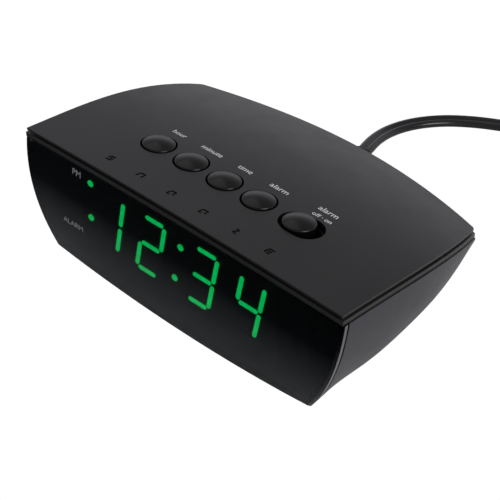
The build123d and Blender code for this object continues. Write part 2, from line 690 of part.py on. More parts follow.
# ---------------------------------------------------------------- mains lead
CORD_RADIUS = CORD_THICK / 2
RELIEF_LENGTH = 20.0
RELIEF_INSIDE = 4.85  # it starts this far inside the back wall's outer face
FLANGE_THICK = 1.8
COLLAR_FROM, COLLAR_UNTIL = 0.05, 2.2  # its collar, outside the wall
CORD_ROUTE = [
    (-8.0, 44.0, 11.2),
    (-8.2, 53.4, 11.1),
    (-10.0, 63.6, 9.4),
    (-13.6, 74.0, 7.2),
    (-15.4, 85.6, 4.4),
    (-13.2, 97.0, 2.6),
    (-7.0, 107.2, 1.6),
    (2.4, 114.9, 1.4),
    (12.8, 120.6, 1.4),
    (23.4, 127.0, 1.6),
    (33.8, 133.2, 2.2),
    (44.4, 139.0, 2.7),
    (55.1, 143.8, 2.8),
]
COIL_CENTRE = (72.0, 112.0)
COIL_INNER, COIL_OUTER = 22.0, 36.7
COIL_HEIGHT = 2 * CORD_WIDTH + 0.2  # two layers of turns, on edge
TIE_WIDTH, TIE_THICK = 4.0, 0.8
TIE_ANGLE = -20.0


def bend_radii(route):
    """The largest radius that each corner of a route has room for."""
    radii = []
    for before, corner, after in zip(route, route[1:], route[2:]):
        into, out = Vector(corner) - Vector(before), Vector(after) - Vector(corner)
        half_turn = math.radians(into.get_angle(out)) / 2
        radii.append(0.45 * min(into.length, out.length) / math.tan(half_turn))
    return radii


def ring(inner, outer, low, high):
    with BuildPart(Plane(origin=(*COIL_CENTRE, low))) as tube:
        Cylinder(outer, high - low, align=(Align.CENTER, Align.CENTER, Align.MIN))
        Cylinder(inner, high - low, align=(Align.CENTER, Align.CENTER, Align.MIN), mode=Mode.SUBTRACT)
    return tube.part


def tie_band():
    """A flat band round the coil's turns; it bears on the table with them."""
    width = COIL_OUTER - COIL_INNER + 1.0
    place = Location((*COIL_CENTRE, 0), (0, 0, TIE_ANGLE))
    with BuildPart(Plane(place)) as band:
        with Locations(((COIL_INNER + COIL_OUTER) / 2, 0, 0)):
            Box(width, TIE_WIDTH, COIL_HEIGHT + TIE_THICK,
                align=(Align.CENTER, Align.CENTER, Align.MIN))
        with Locations(((COIL_INNER + COIL_OUTER) / 2, 0, TIE_THICK)):
            Box(width - 2 * TIE_THICK, TIE_WIDTH, COIL_HEIGHT - TIE_THICK,
                align=(Align.CENTER, Align.CENTER, Align.MIN), mode=Mode.SUBTRACT)
    return band


radii = bend_radii(CORD_ROUTE)
print("cord bend radii", [round(radius) for radius in radii])
with BuildPart() as power_cord:
    with BuildLine() as route:
        FilletPolyline(*CORD_ROUTE, radius=radii)
    with BuildSketch(Plane(origin=CORD_ROUTE[0], z_dir=route.line % 0)):
        Circle(CORD_RADIUS)
    sweep()
finish(power_cord, "power_cord")
cord_length = sum(edge.length for edge in route.edges())
print("cord length", round(cord_length, 1), "volume ratio",
      round(power_cord.part.volume / (cord_length * math.pi * CORD_RADIUS**2), 4))

cord_tie = tie_band()
finish(cord_tie, "cord_tie")

with BuildPart() as cord_coil:
    add(ring(COIL_INNER, COIL_OUTER, 0, COIL_HEIGHT))
    add(cord_tie.part, mode=Mode.SUBTRACT)
finish(cord_coil, "cord_coil")


def lead_plane(along):
    """Across the lead, so far along it."""
    share = along / cord_length
    return Plane(origin=route.line @ share, x_dir=(1, 0, 0), z_dir=route.line % share)


# a sleeve: a grooved collar in the back wall and a tapered tail that bends with the lead
with BuildPart() as strain_relief:
    with BuildSketch(RELIEF_PLANE.offset(-RELIEF_INSIDE)):
        RectangleRounded(10.6, 6.4, 2.5)
    extrude(amount=FLANGE_THICK)
    with BuildSketch(RELIEF_PLANE.offset(FLANGE_THICK - RELIEF_INSIDE)):
        RectangleRounded(*NECK_SIZE, NECK_CORNER)
    extrude(amount=RELIEF_INSIDE - FLANGE_THICK + COLLAR_FROM)
    with BuildSketch(RELIEF_PLANE.offset(COLLAR_FROM)):
        RectangleRounded(10.4, 8.4, 3.5)
    extrude(amount=COLLAR_UNTIL - COLLAR_FROM)
    with BuildSketch(RELIEF_PLANE.offset(COLLAR_UNTIL)):
        RectangleRounded(9.0, 7.0, 3.0)
    with BuildSketch(lead_plane(RELIEF_LENGTH / 2)):
        RectangleRounded(8.0, 5.6, 2.5)
    with BuildSketch(lead_plane(RELIEF_LENGTH)):
        RectangleRounded(7.0, 4.2, 2.0)
    loft()
finish(strain_relief, "strain_relief")

PLUG_ANGLE = 60.0
PLUG_RADIUS = 29.0
PLUG_LENGTH, PLUG_WIDTH, PLUG_HEIGHT = 24.0, 19.0, 11.0
BLADE_LENGTH, BLADE_WIDTH, BLADE_THICK, BLADE_PITCH = 17.5, 6.35, 1.5, 12.7


def plug_plane():
    """At the middle of the plug's rear end; its Z points along the blades."""
    angle = math.radians(PLUG_ANGLE)
    heading = Vector(math.sin(angle), -math.cos(angle), 0)
    middle = Vector(COIL_CENTRE[0] + PLUG_RADIUS * math.cos(angle),
                    COIL_CENTRE[1] + PLUG_RADIUS * math.sin(angle), COIL_HEIGHT + 0.1 + PLUG_HEIGHT / 2)
    outward = Vector(math.cos(angle), math.sin(angle), 0)
    return Plane(origin=middle - heading * PLUG_LENGTH / 2, x_dir=outward, z_dir=heading)


with BuildPart() as plug_body:
    with BuildSketch(plug_plane()):
        RectangleRounded(9.0, 7.0, 2.5)
    with BuildSketch(plug_plane().offset(PLUG_LENGTH * 0.4)):
        RectangleRounded(15.5, 10.0, 3.0)
    with BuildSketch(plug_plane().offset(PLUG_LENGTH * 0.75)):
        RectangleRounded(PLUG_WIDTH, PLUG_HEIGHT, 3.0)
    with BuildSketch(plug_plane().offset(PLUG_LENGTH)):
        RectangleRounded(PLUG_WIDTH, PLUG_HEIGHT, 3.0)
    loft()
finish(plug_body, "plug_body")

with BuildPart() as plug_blades:
    with BuildSketch(plug_plane().offset(PLUG_LENGTH)):
        with Locations((-BLADE_PITCH / 2, 0), (BLADE_PITCH / 2, 0)):
            Rectangle(BLADE_THICK, BLADE_WIDTH)
    extrude(amount=BLADE_LENGTH)
    with Locations(plug_plane().offset(PLUG_LENGTH + BLADE_LENGTH - 4)):
        with Locations(Location((0, 0, 0), (0, 90, 0))):
            Cylinder(1.5, 40, mode=Mode.SUBTRACT)
finish(plug_blades, "plug_blades")
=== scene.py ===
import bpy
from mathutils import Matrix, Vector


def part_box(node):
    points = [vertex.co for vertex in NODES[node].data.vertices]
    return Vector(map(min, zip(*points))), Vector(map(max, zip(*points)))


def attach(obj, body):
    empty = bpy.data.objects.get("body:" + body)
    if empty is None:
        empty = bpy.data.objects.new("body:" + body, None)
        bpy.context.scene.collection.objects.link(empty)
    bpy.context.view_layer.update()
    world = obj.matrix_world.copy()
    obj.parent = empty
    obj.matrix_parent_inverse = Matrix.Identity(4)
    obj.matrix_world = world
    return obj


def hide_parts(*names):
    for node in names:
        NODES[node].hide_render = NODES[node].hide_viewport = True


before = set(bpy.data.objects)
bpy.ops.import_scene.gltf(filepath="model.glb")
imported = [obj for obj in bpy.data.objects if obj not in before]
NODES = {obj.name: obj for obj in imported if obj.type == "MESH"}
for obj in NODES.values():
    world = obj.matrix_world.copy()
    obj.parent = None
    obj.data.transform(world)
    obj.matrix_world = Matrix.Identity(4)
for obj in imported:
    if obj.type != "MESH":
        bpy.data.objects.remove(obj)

"""Looks of the alarm clock: a procedural material for every piece, the printed legends, the flat
mains lead with its strain relief, tie and plug, and a plain floor, soft light and the camera.
Everything is in metres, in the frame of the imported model: +X right, +Y to the back, +Z up.
"""

import math

import bmesh
import bpy
from mathutils import Vector

MM = 0.001
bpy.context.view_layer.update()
SCENE = bpy.context.scene

FRONT_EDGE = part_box("snooze_cover")[0].y  # the cover's straight front edge; depths are behind it
LENS_MIDDLE = 24.5 * MM  # the height at which the lens stands furthest forward
LENS_RADIUS = 143.0 * MM
LENS_THICK = 2.1 * MM
LENS_FRONT = FRONT_EDGE - 1.9 * MM
# width of the painted shade line on the case, behind the lens's back face
SEAM_WIDTH = 0.7 * MM


def middle(node):
    low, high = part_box(node)
    return (low + high) / 2


# ---------------------------------------------------------------- camera
CAMERA_PLACE = (0.26111, -0.29217, 0.34167)
CAMERA_TILT = math.radians(49.66)
CAMERA_TURN = math.radians(42.53)
CAMERA_LENS = 111.83  # mm, on a 36 mm sensor


def add_camera():
    data = bpy.data.cameras.new("camera")
    data.sensor_width = 36.0
    data.lens = CAMERA_LENS
    data.clip_end = 20.0
    camera = bpy.data.objects.new("camera", data)
    camera.location = CAMERA_PLACE
    camera.rotation_euler = (CAMERA_TILT, 0.0, CAMERA_TURN)
    SCENE.collection.objects.link(camera)
    SCENE.camera = camera


add_camera()


# ---------------------------------------------------------------- material helpers
class Surface:
    """A material with one Principled shader, and short calls for the nodes that drive it."""

    def __init__(self, name, **values):
        self.material = bpy.data.materials.new(name)
        self.material.use_nodes = True
        self.nodes = self.material.node_tree.nodes
        self.links = self.material.node_tree.links
        self.shader = self.nodes["Principled BSDF"]
        for socket, value in values.items():
            self.shader.inputs[socket.replace("_", " ")].default_value = value

    def node(self, kind, **settings):
        made = self.nodes.new("ShaderNode" + kind)
        for key, value in settings.items():
            if hasattr(made, key):
                setattr(made, key, value)
            else:
                made.inputs[key.replace("_", " ")].default_value = value
        return made

    def place(self):
        return self.node("TexCoord").outputs["Object"]

    def axes(self):
        """The object coordinates, one by one."""
        split = self.node("SeparateXYZ")
        self.links.new(self.place(), split.inputs["Vector"])
        return split.outputs

    def math(self, operation, *values):
        """The result of a Math node on sockets and numbers."""
        made = self.node("Math", operation=operation)
        for socket, value in zip(made.inputs, values):
            if isinstance(value, bpy.types.NodeSocket):
                self.links.new(value, socket)
            else:
                socket.default_value = value
        return made.outputs["Value"]

    def noise(self, scale, detail=3.0, roughness=0.5, stretch=None):
        texture = self.node("TexNoise", Scale=scale, Detail=detail, Roughness=roughness)
        place = self.place()
        if stretch:
            mapping = self.node("Mapping", Scale=stretch)
            self.links.new(place, mapping.inputs["Vector"])
            place = mapping.outputs["Vector"]
        self.links.new(place, texture.inputs["Vector"])
        return texture.outputs["Fac"]

    def spread(self, source, low, high, start=0.3, end=0.7):
        """source mapped from start..end to low..high."""
        span = self.node("MapRange", From_Min=start, From_Max=end, To_Min=low, To_Max=high)
        self.links.new(source, span.inputs["Value"])
        return span.outputs["Result"]

    def blend(self, source, dark, light, start=0.3, end=0.7):
        """A colour between dark and light, by source."""
        ramp = self.node("ValToRGB")
        ramp.color_ramp.elements[0].position = start
        ramp.color_ramp.elements[0].color = (*dark, 1)
        ramp.color_ramp.elements[1].position = end
        ramp.color_ramp.elements[1].color = (*light, 1)
        self.links.new(source, ramp.inputs["Fac"])
        return ramp.outputs["Color"]

    def drive(self, socket, source):
        self.links.new(source, self.shader.inputs[socket])

    def bump(self, source, height, strength=1.0):
        """Relief of height metres from source, on top of any relief already there."""
        bump = self.node("Bump", Strength=strength, Distance=height)
        earlier = self.shader.inputs["Normal"].links
        if earlier:
            self.links.new(earlier[0].from_socket, bump.inputs["Normal"])
        self.links.new(source, bump.inputs["Height"])
        self.drive("Normal", bump.outputs["Normal"])


def moulded_surface(name, dark, light, rough, grain=0.00003, grain_scale=2600.0, **values):
    """Moulded plastic: fine grain, faint cloudiness, and a finish that varies a little."""
    surface = Surface(name, **values)
    surface.drive("Base Color", surface.blend(surface.noise(35.0, 4.0), dark, light))
    surface.drive("Roughness", surface.spread(surface.noise(120.0, 5.0), rough - 0.03, rough + 0.03))
    surface.bump(surface.noise(grain_scale, 2.0), grain, 0.35)
    surface.bump(surface.noise(60.0, 2.0), 0.00002, 0.5)
    return surface


def moulded(*arguments, **values):
    return moulded_surface(*arguments, **values).material


def metal(name, dark, light, rough, stretch):
    """Plated or stamped metal with fine brushing along one direction."""
    surface = Surface(name, Metallic=1.0)
    lines = surface.noise(900.0, 4.0, 0.6, stretch)
    surface.drive("Base Color", surface.blend(lines, dark, light))
    surface.drive("Roughness", surface.spread(lines, rough - 0.05, rough + 0.08))
    surface.bump(lines, 0.000008, 0.4)
    return surface.material


# ---------------------------------------------------------------- materials of the clock
def lens_material():
    """Smoke-tinted acrylic: polished, with a very slight waviness from moulding."""
    surface = Surface("tinted_acrylic", IOR=1.49, Transmission_Weight=1.0)
    surface.shader.inputs["Specular Tint"].default_value = (0.06, 0.08, 0.09, 1.0)
    surface.shader.inputs["Base Color"].default_value = (0.05, 0.08, 0.083, 1.0)
    surface.drive("Roughness", surface.spread(surface.noise(40.0, 2.0), 0.03, 0.07))
    surface.bump(surface.noise(22.0, 1.0), 0.00001, 0.3)
    return surface.material


def lit_material():
    """A lit green diffuser; the light is a little uneven along each bar."""
    surface = Surface("lit_green", Roughness=0.5, Emission_Strength=5.6)
    surface.shader.inputs["Base Color"].default_value = (0.0, 0.1, 0.04, 1.0)
    glow = surface.blend(surface.noise(700.0, 1.0), (0.0, 0.80, 0.14), (0.0, 1.0, 0.2))
    surface.drive("Emission Color", glow)
    return surface.material


def print_material(name, thin, full):
    """Pad-printed light grey ink, thinner in places."""
    surface = Surface(name, Roughness=0.6)
    cover = surface.noise(3200.0, 2.0)
    surface.drive("Base Color", surface.blend(cover, thin, full))
    return surface.material


def board_material():
    """Circuit board: green mask over a pattern of tracks."""
    surface = Surface("solder_mask", Roughness=0.35)
    tracks = surface.node("TexBrick", Scale=260.0, Mortar_Size=0.03)
    surface.links.new(surface.place(), tracks.inputs["Vector"])
    mask = surface.blend(tracks.outputs["Fac"], (0.01, 0.09, 0.03), (0.03, 0.2, 0.08), 0, 1)
    surface.drive("Base Color", mask)
    surface.bump(tracks.outputs["Fac"], 0.00003, 0.4)
    return surface.material


def lens_curve(offset):
    """How far the lens's face curves back, at that height above or below its middle."""
    return offset**2 / (2 * LENS_RADIUS)


def case_material():
    """The tub's plastic, with painted shade where its sides meet the lens: a near-black line without
    reflections, for the shade in the joint.
    """
    surface = moulded_surface("case_plastic", (0.018, 0.017, 0.021), (0.022, 0.021, 0.025), 0.34)
    axes = surface.axes()
    offset = surface.math("SUBTRACT", axes["Z"], LENS_MIDDLE)
    curve = surface.math("DIVIDE", surface.math("POWER", offset, 2.0), 2 * LENS_RADIUS)
    seam_back = surface.math("ADD", curve, LENS_FRONT + LENS_THICK + SEAM_WIDTH)
    in_painted_shade_seam = surface.math("LESS_THAN", axes["Y"], seam_back)
    mix = surface.node("Mix", data_type="RGBA")
    factor, plastic, painted_shade_black, result = mix.inputs[0], mix.inputs[6], mix.inputs[7], mix.outputs[2]
    surface.links.new(in_painted_shade_seam, factor)
    surface.links.new(surface.shader.inputs["Base Color"].links[0].from_socket, plastic)
    # painted shade: the seam gets a near-black colour and no specular, for the shade in the joint between
    # case and lens
    painted_shade_black.default_value = (0.0005, 0.0005, 0.0005, 1.0)
    surface.drive("Base Color", result)
    surface.drive("Specular IOR Level", surface.math("MULTIPLY_ADD", in_painted_shade_seam, -0.5, 0.5))
    return surface.material


case_plastic = case_material()
rim_plastic = moulded("rim_plastic", (0.015, 0.014, 0.012), (0.019, 0.018, 0.015), 0.38)
cover_plastic = moulded("cover_plastic", (0.0050, 0.0050, 0.0055), (0.0070, 0.0070, 0.0077), 0.34,
                        grain=0.00005, grain_scale=1800.0)
sunk_letters = moulded("sunk_letters", (0.001, 0.001, 0.001), (0.002, 0.002, 0.002), 0.35)
key_plastic = moulded("key_plastic", (0.002, 0.002, 0.002), (0.003, 0.003, 0.003), 0.22, grain=0.00001,
                      Specular_IOR_Level=0.32)
dark_plastic = moulded("dark_plastic", (0.006, 0.006, 0.006), (0.010, 0.010, 0.010), 0.6)
switch_plastic = moulded("switch_plastic", (0.05, 0.05, 0.05), (0.09, 0.09, 0.09), 0.5)
unlit_plastic = moulded("unlit_plastic", (0.010, 0.014, 0.012), (0.016, 0.02, 0.018), 0.5)
foot_rubber = moulded("foot_rubber", (0.012, 0.012, 0.012), (0.02, 0.02, 0.02), 0.75, grain=0.00008)
cord_vinyl = moulded("cord_vinyl", (0.004, 0.004, 0.005), (0.007, 0.007, 0.008), 0.24, grain=0.00001)
plug_vinyl = moulded("plug_vinyl", (0.008, 0.008, 0.008), (0.013, 0.013, 0.013), 0.42)
coil_tape = moulded("coil_tape", (0.45, 0.30, 0.04), (0.60, 0.42, 0.07), 0.35)
steel = metal("plated_steel", (0.42, 0.42, 0.42), (0.62, 0.62, 0.61), 0.28, (1, 1, 12))
iron = metal("stacked_iron", (0.10, 0.10, 0.10), (0.22, 0.21, 0.20), 0.5, (1, 14, 1))
brass = metal("plated_brass", (0.62, 0.52, 0.32), (0.80, 0.70, 0.46), 0.25, (12, 1, 1))
printed_ink = print_material("printed_ink", (0.62, 0.62, 0.62), (0.85, 0.85, 0.85))
lens_ink = print_material("lens_ink", (0.34, 0.36, 0.36), (0.42, 0.44, 0.44))
solder_mask = board_material()
lit_green = lit_material()
# painted highlight: an opaque light grey for the light caught along the lens's cut ends
lens_edge_highlight = moulded("lens_edge_highlight", (0.10, 0.10, 0.11), (0.12, 0.12, 0.13), 0.18, grain=0.00001)

NODE_MATERIALS = {
    "lower_case": case_plastic, "battery_door": case_plastic, "upper_case": rim_plastic,
    "snooze_cover": cover_plastic, "front_lens": lens_material(), "hour_button": key_plastic,
    "minute_button": key_plastic, "time_button": key_plastic, "alarm_button": key_plastic,
    "alarm_switch_knob": key_plastic, "switch_lever": switch_plastic, "tact_switches": switch_plastic,
    "snooze_switch": switch_plastic, "slide_switch": switch_plastic, "key_board": solder_mask,
    "display_board": solder_mask, "power_board": solder_mask, "led_module": dark_plastic,
    "lit_segments": lit_green, "indicator_dots": lit_green, "unlit_segments": unlit_plastic,
    "clock_chip": dark_plastic, "capacitors": dark_plastic, "rectifier": dark_plastic,
    "buzzer": dark_plastic, "transformer_core": iron, "transformer_coil": coil_tape,
    "battery_contacts": steel, "hinge_pins": steel, "case_screws": steel, "key_board_screws": steel,
    "rubber_feet": foot_rubber, "plug_blades": brass,
}


def paint(piece, material):
    piece.data.materials.clear()
    piece.data.materials.append(material)


for node, material in NODE_MATERIALS.items():
    paint(NODES[node], material)


# ---------------------------------------------------------------- the cover's surface and its letters
FRONT_HEIGHT = 48.6 * MM
COVER_HALF_WIDTH = 66.0 * MM
COVER_NARROWING = 29.5  # times the cube of the depth, in metres, behind its widest place
COVER_WIDEST = 12.0 * MM
COVER_DEPTH = 85.0 * MM
TOP_SLOPE, TOP_CURL = 0.128, 18.8
FRONT_CROWN, REAR_CROWN = 1.0 * MM, 3.1 * MM
LETTER_DEPTH = 7.2 * MM
LETTER_REACH = 2.4 * MM  # of a letter's faces, before and behind that depth
LETTER_SINK, LETTER_FLOOR = 0.1 * MM, 0.5 * MM
LETTERS_SPAN = 40.0 * MM


def cover_height(x, y):
    """The height of the cover's top surface."""
    d = y - FRONT_EDGE
    crown = FRONT_CROWN + (REAR_CROWN - FRONT_CROWN) * (d / COVER_DEPTH) ** 2
    half_width = COVER_HALF_WIDTH - COVER_NARROWING * (d - COVER_WIDEST) ** 3
    side_height = FRONT_HEIGHT - TOP_SLOPE * d - TOP_CURL * d**3
    return side_height + crown * (1 - (x / half_width) ** 2)


def darken_letters():
    """The sunk letters' walls and floors are dark."""
    mesh = NODES["snooze_cover"].data
    mesh.materials.append(sunk_letters)
    for face in mesh.polygons:
        x, y, z = face.center
        beside = abs(y - FRONT_EDGE - LETTER_DEPTH)
        sunk = LETTER_SINK < cover_height(x, y) - z < LETTER_FLOOR
        if sunk and beside < LETTER_REACH and abs(x) < LETTERS_SPAN:
            face.material_index = 1


darken_letters()


def paint_highlight_on_lens_ends():
    """The lens's cut ends at the sides of the case, with painted highlight: an opaque light grey in place
    of the tinted acrylic.
    """
    mesh = NODES["front_lens"].data
    mesh.materials.append(lens_edge_highlight)
    for face in mesh.polygons:
        if abs(face.normal.x) > 0.7 and abs(face.normal.y) < 0.3:
            face.material_index = 1


paint_highlight_on_lens_ends()


# ---------------------------------------------------------------- printed legends
def new_piece(name, mesh, body, material):
    piece = bpy.data.objects.new(name, mesh)
    SCENE.collection.objects.link(piece)
    paint(piece, material)
    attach(piece, body)
    return piece


INK = 0.08 * MM  # thickness
INK_MIDDLE = 0.03 * MM  # above the surface that it is printed on, whose facets stray by that much


def words_mesh(words, width):
    """Words as a thin closed mesh, width across and INK thick, centred on the origin."""
    curve = bpy.data.curves.new("words", "FONT")
    curve.body = words
    curve.align_x = "CENTER"
    curve.align_y = "CENTER"
    curve.extrude = INK / 2
    text = bpy.data.objects.new("words", curve)
    SCENE.collection.objects.link(text)
    bpy.context.view_layer.update()
    mesh = bpy.data.meshes.new_from_object(text)
    bpy.data.objects.remove(text)
    across = [vertex.co.x for vertex in mesh.vertices]
    upright = [vertex.co.y for vertex in mesh.vertices]
    scale = width / (max(across) - min(across))
    shift = Vector(((max(across) + min(across)) / 2, (max(upright) + min(upright)) / 2, 0))
    for vertex in mesh.vertices:
        side = 1 if vertex.co.z > 0 else -1
        moved = (vertex.co - shift) * scale
        vertex.co = (moved.x, moved.y, side * INK / 2)
    return mesh


def cover_legend(name, words, x, depth, width):
    """A word printed on the cover, read from the front."""
    mesh = words_mesh(words, width)
    for vertex in mesh.vertices:
        px, py = x + vertex.co.x, FRONT_EDGE + depth + vertex.co.y
        vertex.co = (px, py, cover_height(px, py) + vertex.co.z + INK_MIDDLE)
    return new_piece(name, mesh, "snooze", printed_ink)


def lens_legend(name, words, x, z, width):
    """A word printed on the lens's front face."""
    mesh = words_mesh(words, width)
    for vertex in mesh.vertices:
        px, pz = x + vertex.co.x, z + vertex.co.y
        face = LENS_FRONT + lens_curve(pz - LENS_MIDDLE)
        vertex.co = (px, face - vertex.co.z - INK_MIDDLE, pz)
    return new_piece(name, mesh, "case", lens_ink)


LEGEND_DEPTH = 34.9 * MM  # behind the cover's front edge
LEGEND_LEFT = 0.4 * MM  # of the button's middle
for word, width in (("hour", 5.6), ("minute", 8.6), ("time", 5.7), ("alarm", 7.2)):
    button_x = middle(f"{word}_button").x
    cover_legend(f"{word}_legend", word, button_x - LEGEND_LEFT, LEGEND_DEPTH, width * MM)
cover_legend("switch_legend", "alarm", 30.1 * MM, 36.9 * MM, 7.4 * MM)
cover_legend("off_on_legend", "off · on", 30.8 * MM, 32.9 * MM, 7.4 * MM)
lens_legend("pm_legend", "PM", -42.4 * MM, 42.9 * MM, 3.7 * MM)
lens_legend("alarm_on_legend", "ALARM", -45.0 * MM, 21.5 * MM, 9.2 * MM)


# ---------------------------------------------------------------- mains lead
CORD_ROUTE = [
    (-0.0080, 0.0440, 0.0112),
    (-0.0082, 0.0534, 0.0111),
    (-0.0100, 0.0636, 0.0094),
    (-0.0136, 0.0740, 0.0072),
    (-0.0154, 0.0856, 0.0044),
    (-0.0132, 0.0970, 0.0026),
    (-0.0070, 0.1072, 0.0016),
    (0.0024, 0.1149, 0.0014),
    (0.0128, 0.1206, 0.0014),
    (0.0234, 0.1270, 0.0016),
    (0.0338, 0.1332, 0.0022),
    (0.0444, 0.1390, 0.0027),
    (0.0551, 0.1438, 0.0028),
]
CORD_WIDTH = 5.6 * MM
CORD_THICK = 2.8 * MM

COIL = middle("cord_coil")
COIL_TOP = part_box("cord_coil")[1].z
COIL_TURN = 35.4 * MM  # the outermost turn's radius
TURN_PITCH = 2.9 * MM
STEPS_PER_TURN = 20
LOW_TURNS = 4.0  # on the table, winding inwards
TURN_BACK = 4.2  # the lead winds outwards again from here
RISE_END = 4.25  # and is on the upper layer from here
HIGH_TURNS = 6.5  # then it rises to the plug and swings out, for a wide arrival
LAST_TURN = 6.97
SWING_OUT = 6.3 * MM
COIL_RISE = 0.77  # the share of the last rise that is done on the coil's last turn

PLUG_ANGLE = math.radians(60.0)
PLUG_RADIUS = 29.0 * MM
PLUG_LENGTH, PLUG_HEIGHT = 24.0 * MM, 11.0 * MM
PLUG_GAP = 0.1 * MM  # over the coil
PLUG_HEADING = Vector((math.sin(PLUG_ANGLE), -math.cos(PLUG_ANGLE), 0))
PLUG_OUTWARD = Vector((math.cos(PLUG_ANGLE), math.sin(PLUG_ANGLE), 0))
PLUG_LEVEL = COIL_TOP + PLUG_GAP + PLUG_HEIGHT / 2
PLUG_MIDDLE = Vector((COIL.x, COIL.y, PLUG_LEVEL)) + PLUG_OUTWARD * PLUG_RADIUS
PLUG_REAR = PLUG_MIDDLE - PLUG_HEADING * PLUG_LENGTH / 2
ARRIVAL_BEND = 25.0 * MM
ARRIVAL_STEPS = (67.5, 45.0, 22.5, 8.0, 0.0)  # degrees before the plug


def ease(value, start, end):
    """0 before start, 1 after end, and smooth between them."""
    t = min(1.0, max(0.0, (value - start) / (end - start)))
    return t * t * (3 - 2 * t)


LOW_LEVEL = CORD_WIDTH / 2
HIGH_LEVEL = LOW_LEVEL + CORD_WIDTH


def rising(share):
    """The lead's height on its way from the upper layer to the plug."""
    return HIGH_LEVEL + (PLUG_REAR.z - HIGH_LEVEL) * ease(share, 0.0, 1.0)


def coil_point(turn):
    """The lead's centreline after so many turns of the coil."""
    last = CORD_ROUTE[-1]
    angle = math.atan2(last[1] - COIL.y, last[0] - COIL.x) - 2 * math.pi * turn
    radius = COIL_TURN - TURN_PITCH * min(turn, TURN_BACK) + TURN_PITCH * max(0.0, turn - TURN_BACK)
    radius += SWING_OUT * ease(turn, HIGH_TURNS, LAST_TURN)
    height = LOW_LEVEL + CORD_WIDTH * ease(turn, LOW_TURNS, RISE_END)
    if turn > HIGH_TURNS:
        height = rising(COIL_RISE * (turn - HIGH_TURNS) / (LAST_TURN - HIGH_TURNS))
    return (COIL.x + radius * math.cos(angle), COIL.y + radius * math.sin(angle), height)


def arrival_point(degrees):
    """The lead's centreline on the bend that brings it into the plug."""
    angle = PLUG_ANGLE + math.radians(degrees)
    centre = PLUG_REAR - PLUG_OUTWARD * ARRIVAL_BEND
    height = rising(1 - (1 - COIL_RISE) * degrees / ARRIVAL_STEPS[0])
    return (centre.x + ARRIVAL_BEND * math.cos(angle), centre.y + ARRIVAL_BEND * math.sin(angle), height)


def cord_points():
    """The whole route: as it leaves the clock, round the coil, and into the plug."""
    turns = [step / STEPS_PER_TURN for step in range(1, round(LAST_TURN * STEPS_PER_TURN))]
    return CORD_ROUTE + [coil_point(turn) for turn in turns] + [arrival_point(d) for d in ARRIVAL_STEPS]


def smooth_line(points):
    """The points of the NURBS spline that has the route's points as its control points."""
    curve = bpy.data.curves.new("route", "CURVE")
    curve.dimensions = "3D"
    curve.resolution_u = 8
    spline = curve.splines.new("NURBS")
    spline.points.add(len(points) - 1)
    for place, point in zip(spline.points, points):
        place.co = (*point, 1.0)
    spline.order_u = 3
    spline.use_endpoint_u = True
    holder = bpy.data.objects.new("route", curve)
    SCENE.collection.objects.link(holder)
    bpy.context.view_layer.update()
    mesh = bpy.data.meshes.new_from_object(holder)
    line = [vertex.co.copy() for vertex in mesh.vertices]
    bpy.data.objects.remove(holder)
    return line


UP = Vector((0, 0, 1))
RIGHT = Vector((1, 0, 0))
LOBE = CORD_THICK / 2
FLAT_UNTIL, EDGE_FROM = 0.100, 0.160  # metres along the lead, where it turns on its edge
LEVEL_FROM, LEVEL_UNTIL = 0.095, 0.025  # metres before its end, where it lies flat again


def twin_section():
    """Two round cores side by side with a web between them: (across, thick)."""
    angles = [math.radians(a) for a in range(-150, 151, 25)]
    right = [(LOBE + LOBE * math.cos(a), LOBE * math.sin(a)) for a in angles]
    return right + [(-w, -n) for w, n in right]


def lofted(name, rings, round_again=False):
    """A closed mesh through rings of equal numbers of points; round_again joins the last to the first."""
    mesh = bmesh.new()
    loops = [[mesh.verts.new(point) for point in ring] for ring in rings]
    after = loops[1:] + loops[:1] if round_again else loops[1:]
    for first, second in zip(loops, after):
        for i in range(len(first)):
            j = (i + 1) % len(first)
            mesh.faces.new((first[i], first[j], second[j], second[i]))
    if not round_again:
        mesh.faces.new(reversed(loops[0]))
        mesh.faces.new(loops[-1])
    bmesh.ops.recalc_face_normals(mesh, faces=mesh.faces)
    for face in mesh.faces:
        face.smooth = len(face.verts) == 4
    made = bpy.data.meshes.new(name)
    mesh.to_mesh(made)
    mesh.free()
    return made


def cord_mesh(line):
    """The twin lead: flat where it leaves the clock and at the plug, and on its edge in the coil."""
    section = twin_section()
    total = sum((b - a).length for a, b in zip(line, line[1:]))
    rings, along = [], 0.0
    for index, point in enumerate(line):
        before, after = line[max(0, index - 1)], line[min(len(line) - 1, index + 1)]
        along += (point - before).length
        tangent = (after - before).normalized()
        level = tangent.cross(UP).normalized()
        up = level.cross(tangent)
        turned = ease(along, FLAT_UNTIL, EDGE_FROM) - ease(along, total - LEVEL_FROM, total - LEVEL_UNTIL)
        angle = math.pi / 2 * turned
        across = level * math.cos(angle) + up * math.sin(angle)
        thick = across.cross(tangent)
        rings.append([point + across * w + thick * n for w, n in section])
    return lofted("mains_lead", rings)


def rounded_ring(origin, right, up, width, height, corner, steps=5):
    """Points round a rectangle with rounded corners, standing at origin."""
    points = []
    for quarter, (sx, sy) in enumerate(((1, 1), (-1, 1), (-1, -1), (1, -1))):
        for step in range(steps + 1):
            angle = math.pi / 2 * (quarter + step / steps)
            u = sx * (width / 2 - corner) + corner * math.cos(angle)
            v = sy * (height / 2 - corner) + corner * math.sin(angle)
            points.append(origin + right * u + up * v)
    return points


RELIEF_INSIDE = 4.85 * MM  # it starts this far inside the back wall's outer face


def frame_along(line, distance):
    """Origin, across and up on the lead, so far from its start."""
    along = 0.0
    for before, after in zip(line, line[1:]):
        step = (after - before).length
        if along + step >= distance:
            break
        along += step
    tangent = (after - before).normalized()
    across = tangent.cross(UP).normalized()
    return before + tangent * (distance - along), across, across.cross(tangent)


